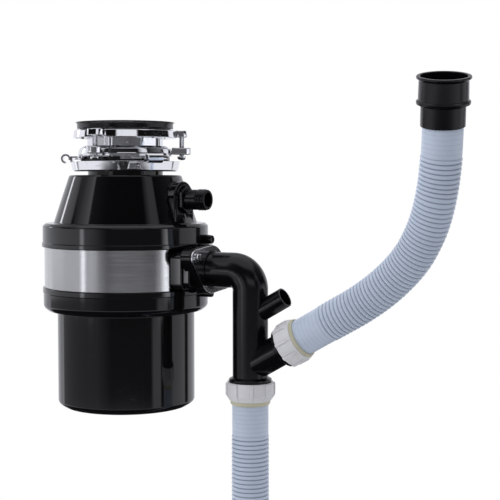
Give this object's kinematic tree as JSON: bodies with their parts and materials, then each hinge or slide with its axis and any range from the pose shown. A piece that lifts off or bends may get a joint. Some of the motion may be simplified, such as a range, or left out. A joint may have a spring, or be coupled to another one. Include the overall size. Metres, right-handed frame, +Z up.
{
  "type": "kitchen garbage disposal",
  "caption": "Under-sink food waste disposer with three-bolt sink mount, grinding chamber and motor, discharge elbow with side branches, and two ribbed waste hoses.",
  "frame": {"origin": "on the disposer's vertical axis, level with the underside of the sink rim seal, where the sink's metal lies", "axes": "+Z up along the disposer's axis, +X from the disposer's axis towards its discharge elbow"},
  "size_m": [0.5052, 0.1862, 0.6401],
  "materials": {
    "gloss_black": "gloss black",
    "satin_black": "satin black moulding",
    "black_rubber": "satin rubber",
    "chrome": "bright chrome plate",
    "brushed_steel": "brushed round the body",
    "plain_steel": "plain steel",
    "cast_metal": "as cast",
    "copper": "varnished winding",
    "grey_hose": "pale grey-blue polypropylene",
    "white_nut": "off-white moulding",
    "olive_seal": "olive soft seal",
    "red_button": "red moulding"
  },
  "bodies": {
    "sink_mount": {"rim_seal": "black_rubber", "sink_flange": "chrome", "sink_gasket": "black_rubber", "support_flange": "chrome", "mounting_ring": "chrome", "snap_ring": "plain_steel", "mount_screw_1": "chrome", "mount_screw_2": "chrome", "mount_screw_3": "chrome"},
    "lock_ring": {"lock_ring": "chrome"},
    "disposer": {"mounting_gasket": "black_rubber", "splash_guard": "black_rubber", "hopper": "plain_steel", "top_cover": "gloss_black", "dishwasher_inlet": "satin_black", "grind_ring": "plain_steel", "steel_band": "brushed_steel", "drain_housing": "gloss_black", "shaft_seal": "black_rubber", "upper_bearing": "plain_steel", "lower_trim_ring": "gloss_black", "motor_can": "gloss_black", "stator_core": "plain_steel", "upper_winding": "copper", "lower_winding": "copper", "lower_end_frame": "cast_metal", "lower_bearing": "plain_steel", "through_bolt_1": "plain_steel", "through_bolt_2": "plain_steel", "through_bolt_3": "plain_steel", "through_bolt_4": "plain_steel", "overload_protector": "satin_black", "terminal_cover": "plain_steel", "terminal_cover_screw": "chrome", "cable_gland": "black_rubber", "discharge_gasket": "black_rubber", "flange_plate": "chrome", "flange_screw_1": "chrome", "flange_screw_2": "chrome", "discharge_elbow": "satin_black", "lower_nut": "white_nut", "lower_seal": "olive_seal", "lower_hose": "grey_hose", "side_nut": "white_nut", "side_seal": "olive_seal", "side_hose": "grey_hose", "waste_adapter": "satin_black"},
    "rotor": {"turntable": "plain_steel", "motor_shaft": "plain_steel", "rotor_core": "cast_metal", "shaft_nut": "plain_steel", "lug_pin_1": "plain_steel", "lug_pin_2": "plain_steel"},
    "lug_1": {"impeller_lug_1": "plain_steel"},
    "lug_2": {"impeller_lug_2": "plain_steel"},
    "reset_button": {"reset_button": "red_button"}
  },
  "joints": [
    {"name": "lock_ring_turn", "type": "hinge", "parent": "sink_mount", "child": "lock_ring", "pos_m": [0, 0, -0.045], "axis": [0, 0, 1], "range_deg": [0, 40]},
    {"name": "body_swivel", "type": "hinge", "parent": "sink_mount", "child": "disposer", "pos_m": [0, 0, -0.05], "axis": [0, 0, 1], "continuous": true},
    {"name": "rotor_spin", "type": "hinge", "parent": "disposer", "child": "rotor", "pos_m": [0, 0, -0.2], "axis": [0, 0, 1], "continuous": true},
    {"name": "lug_1_swing", "type": "hinge", "parent": "rotor", "child": "lug_1", "pos_m": [-0.046, 0, -0.125], "axis": [0, 0, 1], "continuous": true},
    {"name": "lug_2_swing", "type": "hinge", "parent": "rotor", "child": "lug_2", "pos_m": [0.046, 0, -0.125], "axis": [0, 0, 1], "continuous": true},
    {"name": "reset_button_press", "type": "slide", "parent": "disposer", "child": "reset_button", "axis": [0, 0, 1], "range_m": [0, 0.0025], "stiffness_N_per_m": 400}
  ]
}
